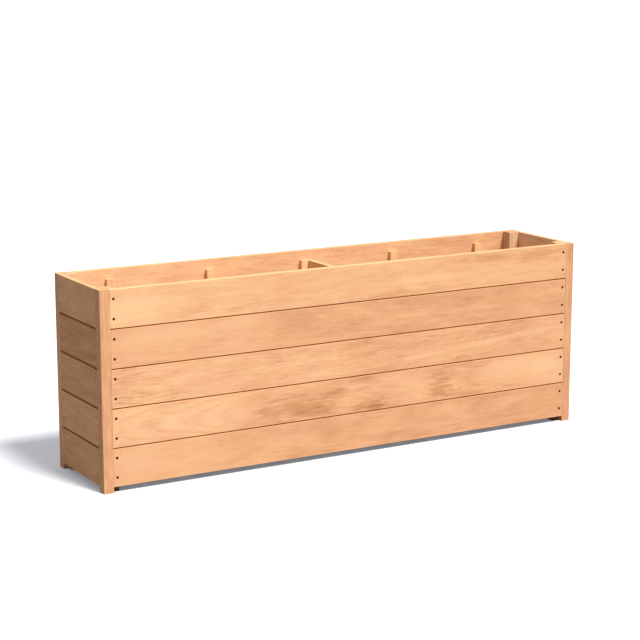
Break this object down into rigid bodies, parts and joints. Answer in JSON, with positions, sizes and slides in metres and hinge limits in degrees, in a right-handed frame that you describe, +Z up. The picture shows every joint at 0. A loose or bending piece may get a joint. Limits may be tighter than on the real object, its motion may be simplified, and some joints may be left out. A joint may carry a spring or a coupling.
{
  "type": "wooden planter box",
  "caption": "Long rectangular planter box of horizontal hardwood planks screwed into rebated corner posts, with inner battens, a cross brace and a slatted floor.",
  "frame": {"origin": "middle of the footprint, on the ground under the posts", "axes": "+X along the box to the right seen from the front, +Y from front to rear, +Z up"},
  "size_m": [2, 0.4, 0.712],
  "materials": {
    "post_wood": "planed, grain upright",
    "plank_wood": "planed, grain along the plank",
    "batten_wood": "planed",
    "floor_wood": "planed, left rough at the ends",
    "wall_screw_steel": "dark coated",
    "inner_screw_steel": "plain"
  },
  "bodies": {
    "root": {"post_front_left": "post_wood", "post_front_right": "post_wood", "post_rear_left": "post_wood", "post_rear_right": "post_wood", "front_plank_1": "plank_wood", "front_plank_2": "plank_wood", "front_plank_3": "plank_wood", "front_plank_4": "plank_wood", "front_plank_5": "plank_wood", "rear_plank_1": "plank_wood", "rear_plank_2": "plank_wood", "rear_plank_3": "plank_wood", "rear_plank_4": "plank_wood", "rear_plank_5": "plank_wood", "left_plank_1": "plank_wood", "left_plank_2": "plank_wood", "left_plank_3": "plank_wood", "left_plank_4": "plank_wood", "left_plank_5": "plank_wood", "right_plank_1": "plank_wood", "right_plank_2": "plank_wood", "right_plank_3": "plank_wood", "right_plank_4": "plank_wood", "right_plank_5": "plank_wood", "front_batten_1": "batten_wood", "front_batten_2": "batten_wood", "front_batten_3": "batten_wood", "front_batten_4": "batten_wood", "front_batten_5": "batten_wood", "rear_batten_1": "batten_wood", "rear_batten_2": "batten_wood", "rear_batten_3": "batten_wood", "rear_batten_4": "batten_wood", "rear_batten_5": "batten_wood", "cross_brace": "batten_wood", "front_ledger": "batten_wood", "rear_ledger": "batten_wood", "floor_board_1": "floor_wood", "floor_board_2": "floor_wood", "floor_board_3": "floor_wood", "floor_board_4": "floor_wood", "floor_board_5": "floor_wood", "floor_board_6": "floor_wood", "floor_board_7": "floor_wood", "floor_board_8": "floor_wood", "floor_board_9": "floor_wood", "floor_board_10": "floor_wood", "floor_board_11": "floor_wood", "floor_board_12": "floor_wood", "floor_board_13": "floor_wood", "front_post_screws": "wall_screw_steel", "rear_post_screws": "wall_screw_steel", "left_post_screws": "wall_screw_steel", "right_post_screws": "wall_screw_steel", "front_batten_screws": "inner_screw_steel", "rear_batten_screws": "inner_screw_steel", "brace_screws": "inner_screw_steel", "ledger_screws": "inner_screw_steel", "floor_screws": "inner_screw_steel"}
  },
  "joints": []
}
